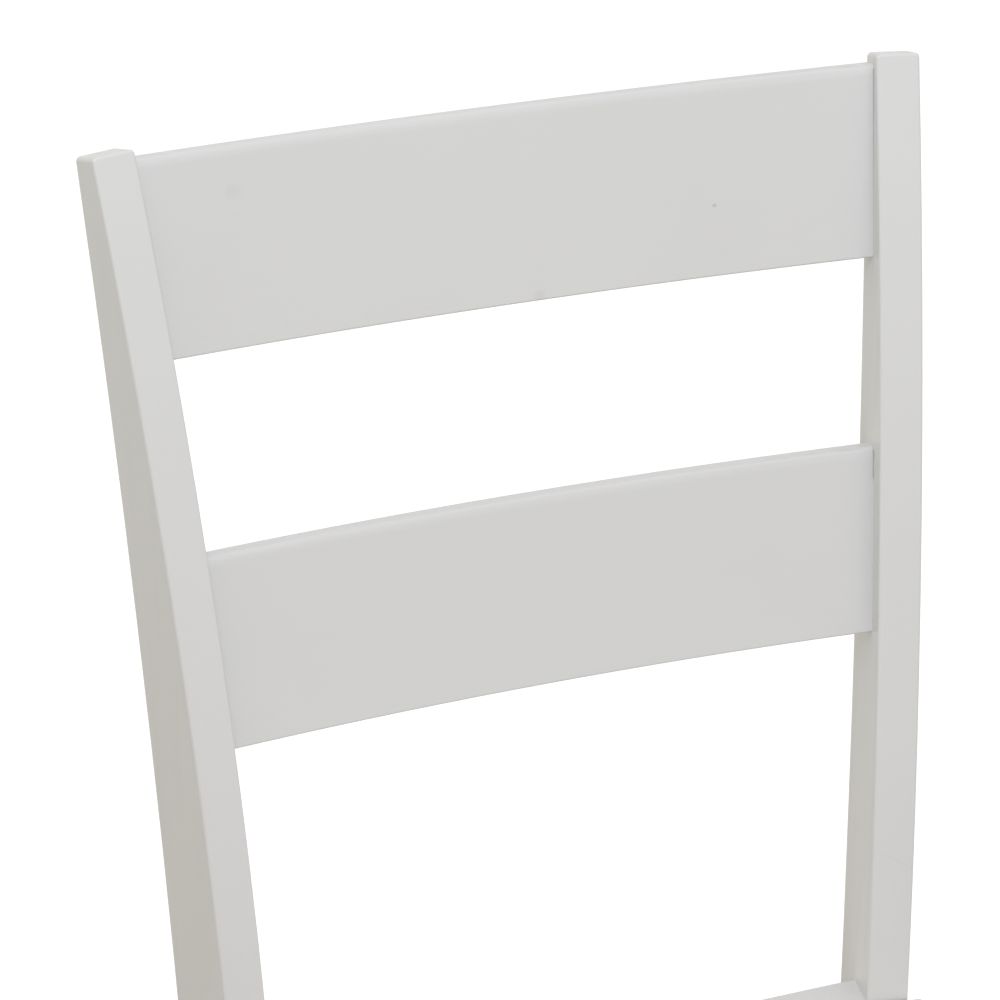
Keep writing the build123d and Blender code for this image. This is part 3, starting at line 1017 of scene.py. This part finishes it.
class CHAIR_OT_glides(bpy.types.Operator):
    """Finish the floor glides and model the nails that hold them"""

    bl_idname = "chair.glides"
    bl_label = "Glides and nails"

    def execute(self, context):
        finish_nodes(GLIDES, moulded_nylon("glide_nylon"))
        sizes = context.scene.chair_fasteners
        node, name = NAILS
        places = fastener_places(node)
        pattern = turned_fastener(
            name,
            head_radius=sizes.nail_head_radius,
            head_height=sizes.nail_head_height,
            head_dome=sizes.nail_head_dome,
            shank_radius=sizes.nail_radius,
            length=places[0].length,
            tip_length=sizes.nail_tip,
        )
        put_in_place(place_copies(pattern, places, name), node, zinc_plate("nail_zinc"))
        return {"FINISHED"}


class CHAIR_OT_stage(bpy.types.Operator):
    """Set up the floor, the even light from all round, the lamps and the camera"""

    bl_idname = "chair.stage"
    bl_label = "Stage"

    def execute(self, context):
        stage = context.scene.chair_stage
        context.scene.view_settings.view_transform = "Standard"
        make_floor(stage)
        make_sky(stage)
        make_lamp(stage, "key", stage.key_place, stage.key_width, stage.key_power)
        make_lamp(stage, "side", stage.side_place, stage.side_width, stage.side_power)
        make_camera(stage)
        return {"FINISHED"}


class CHAIR_PT_sidebar(bpy.types.Panel):
    """Lists the chair's steps and settings"""

    bl_idname = "CHAIR_PT_sidebar"
    bl_label = "Dining chair"
    bl_space_type = "VIEW_3D"
    bl_region_type = "UI"
    bl_category = "Chair"

    def draw(self, context):
        column = self.layout.column()
        for operator in OPERATORS:
            column.operator(operator.bl_idname)
        scene = context.scene
        for settings in (scene.chair_finish, scene.chair_fasteners, scene.chair_stage):
            for name in settings.__annotations__:
                column.prop(settings, name)


OPERATORS = [
    CHAIR_OT_posts,
    CHAIR_OT_slats,
    CHAIR_OT_seat,
    CHAIR_OT_legs,
    CHAIR_OT_rails,
    CHAIR_OT_stretchers,
    CHAIR_OT_bare_wood,
    CHAIR_OT_screws,
    CHAIR_OT_glides,
    CHAIR_OT_stage,
]
CLASSES = [ChairFinish, ChairFasteners, ChairStage, *OPERATORS, CHAIR_PT_sidebar]


def register():
    """Registers the add-on's classes and settings."""
    for each in CLASSES:
        bpy.utils.register_class(each)
    bpy.types.Scene.chair_finish = bpy.props.PointerProperty(type=ChairFinish)
    bpy.types.Scene.chair_fasteners = bpy.props.PointerProperty(type=ChairFasteners)
    bpy.types.Scene.chair_stage = bpy.props.PointerProperty(type=ChairStage)


def unregister():
    """Takes the add-on's classes and settings away again."""
    del bpy.types.Scene.chair_stage
    del bpy.types.Scene.chair_fasteners
    del bpy.types.Scene.chair_finish
    for each in reversed(CLASSES):
        bpy.utils.unregister_class(each)


def main():
    """Builds the chair's looks in order."""
    register()
    bpy.ops.chair.posts()
    bpy.ops.chair.slats()
    bpy.ops.chair.seat()
    bpy.ops.chair.legs()
    bpy.ops.chair.rails()
    bpy.ops.chair.stretchers()
    bpy.ops.chair.bare_wood()
    bpy.ops.chair.screws()
    bpy.ops.chair.glides()
    bpy.ops.chair.stage()


if __name__ == "__main__":
    main()
